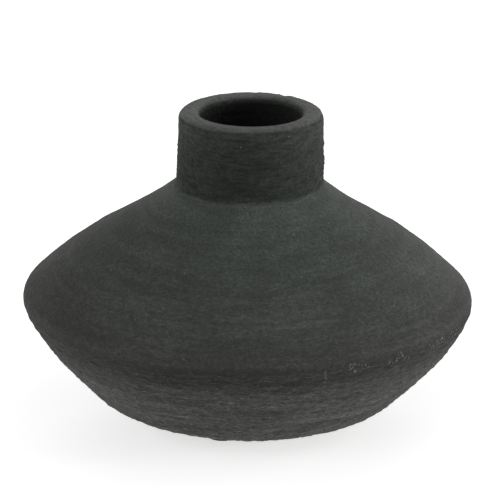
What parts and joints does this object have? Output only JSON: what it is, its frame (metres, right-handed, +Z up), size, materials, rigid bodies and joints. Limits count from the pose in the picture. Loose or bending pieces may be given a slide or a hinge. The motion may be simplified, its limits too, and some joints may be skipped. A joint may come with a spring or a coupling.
{
  "type": "hand-built clay pot",
  "caption": "Wide, low-bellied black clay pot with a blunt edge round the belly, a short straight neck and a thick flat lip, standing on small felt pads.",
  "frame": {"origin": "on the surface that the felt pads stand on, straight under the centre of the pot", "axes": "+Z up along the pot's axis; -Y is the side turned to the viewer and +X is the viewer's right"},
  "size_m": [0.1498, 0.1498, 0.1065],
  "materials": {
    "black_clay": "fired, unburnished, matte and faintly gritty, charcoal black",
    "clay_slip": "fired slip, matte, slightly finer than the clay",
    "pad_felt": "pressed black felt, fuzzy",
    "pad_glue": "thin pressure-sensitive adhesive film"
  },
  "bodies": {
    "root": {"base_slab": "black_clay", "lower_bowl": "black_clay", "shoulder": "black_clay", "neck_collar": "black_clay", "lip_coil": "black_clay", "base_joint_slip": "clay_slip", "belly_joint_slip": "clay_slip", "neck_joint_slip": "clay_slip", "lip_joint_slip": "clay_slip", "felt_pad_front_left": "pad_felt", "felt_pad_right": "pad_felt", "felt_pad_back_left": "pad_felt", "pad_glue_front_left": "pad_glue", "pad_glue_right": "pad_glue", "pad_glue_back_left": "pad_glue"}
  },
  "joints": []
}
